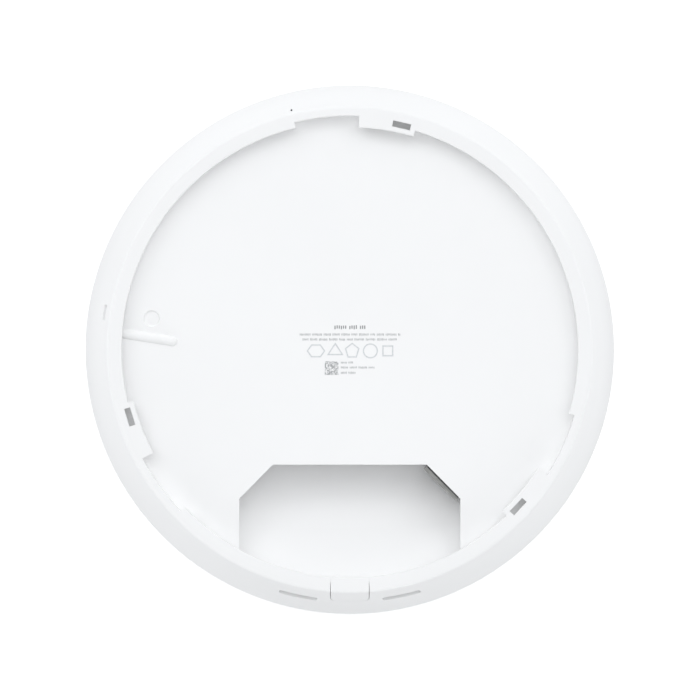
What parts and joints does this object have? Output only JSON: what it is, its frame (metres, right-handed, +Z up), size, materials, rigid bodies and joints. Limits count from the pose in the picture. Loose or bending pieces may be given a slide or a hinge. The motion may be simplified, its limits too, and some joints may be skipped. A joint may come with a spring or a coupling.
{
  "type": "ceiling access point",
  "caption": "Round white ceiling wireless access point: flat rim with bayonet tabs, recessed back plate, angled network socket in a cable pocket, shallow domed front.",
  "frame": {"origin": "centre of the flat rim that lies against the ceiling, which is also the centre of the bayonet mount", "axes": "+Z goes up into the ceiling, the domed front faces -Z, and the cable leaves through the rim towards -Y"},
  "size_m": [0.206, 0.206, 0.046],
  "materials": {
    "casing_white": "fine matt moulded texture",
    "cap_white": "fine matt moulded texture",
    "liner_white": "satin moulded",
    "plate_white": "smooth satin powder coat",
    "diffuser": "milky translucent",
    "zinc_steel": "zinc plated",
    "board_green": "solder mask on glass-fibre laminate",
    "board_white": "white solder mask",
    "lamp": "clear lens over phosphor",
    "ribbon_film": "polyimide film",
    "connector_ivory": "moulded nylon",
    "shield_tin": "tinned sheet",
    "antenna_metal": "stamped nickel silver",
    "thermal_pad": "soft silicone pad",
    "chip_black": "moulded epoxy",
    "heat_sink_metal": "cast, as blasted",
    "capacitor_can": "sleeved can",
    "ferrite": "sintered ferrite",
    "jack_metal": "nickel plated sheet",
    "jack_grey": "moulded",
    "contact_gold": "gold flashed",
    "switch_black": "moulded",
    "plunger_grey": "moulded acetal",
    "fan_black": "glass-filled moulding",
    "fan_cover_metal": "pressed sheet",
    "bearing_bronze": "sintered bronze",
    "stator_copper": "enamelled copper windings",
    "lead_sleeve": "soft sleeve",
    "foam_black": "closed-cell foam",
    "foam_grey": "closed-cell foam"
  },
  "bodies": {
    "casing": {"back_plate": "plate_white", "board_screws": "zinc_steel", "board_spacers": "zinc_steel", "center_cap": "cap_white", "dual_band_antenna_1": "antenna_metal", "dual_band_antenna_2": "antenna_metal", "dual_band_antenna_3": "antenna_metal", "dual_band_antenna_4": "antenna_metal", "fan_bearing": "bearing_bronze", "fan_cover": "fan_cover_metal", "fan_housing": "fan_black", "fan_lead": "lead_sleeve", "fan_plug": "connector_ivory", "fan_screws": "zinc_steel", "fan_stator": "stator_copper", "front_dome": "casing_white", "heat_sink": "heat_sink_metal", "heat_sink_nuts": "zinc_steel", "heat_sink_screws": "zinc_steel", "high_band_antenna_1": "antenna_metal", "high_band_antenna_2": "antenna_metal", "jack_contacts": "contact_gold", "jack_gasket": "foam_black", "jack_insert": "jack_grey", "jack_shield": "jack_metal", "led_board": "board_white", "led_board_screws": "zinc_steel", "led_ribbon": "ribbon_film", "light_ring": "diffuser", "liner_screws": "zinc_steel", "main_board": "board_green", "memory_chips": "chip_black", "network_magnetics": "chip_black", "plate_screws": "zinc_steel", "pocket_liner": "liner_white", "power_capacitors": "capacitor_can", "power_coils": "ferrite", "power_transformer": "ferrite", "processor_chip": "chip_black", "processor_shield": "shield_tin", "radio_chips": "chip_black", "radio_shield_2ghz": "shield_tin", "radio_shield_5ghz": "shield_tin", "radio_shield_6ghz": "shield_tin", "rear_shell": "casing_white", "reset_switch": "switch_black", "ribbon_sockets": "connector_ivory", "slot_seals": "foam_grey", "status_leds": "lamp", "thermal_pads": "thermal_pad"},
    "cable_door": {"cable_door": "casing_white"},
    "reset_button": {"reset_plunger": "plunger_grey", "reset_switch_cap": "switch_black"},
    "fan_wheel": {"fan_rotor": "fan_black", "fan_magnet": "ferrite", "fan_shaft": "zinc_steel"}
  },
  "joints": [
    {"name": "cable_door_pull", "type": "slide", "parent": "casing", "child": "cable_door", "axis": [0, 0, 1], "range_m": [0, 0.014]},
    {"name": "reset_press", "type": "slide", "parent": "casing", "child": "reset_button", "axis": [0, 0, -1], "range_m": [0, 0.0005], "stiffness_N_per_m": 200},
    {"name": "fan_spin", "type": "hinge", "parent": "casing", "child": "fan_wheel", "pos_m": [-0.048, 0.014, -0.013], "axis": [0, 0, 1], "continuous": true}
  ]
}
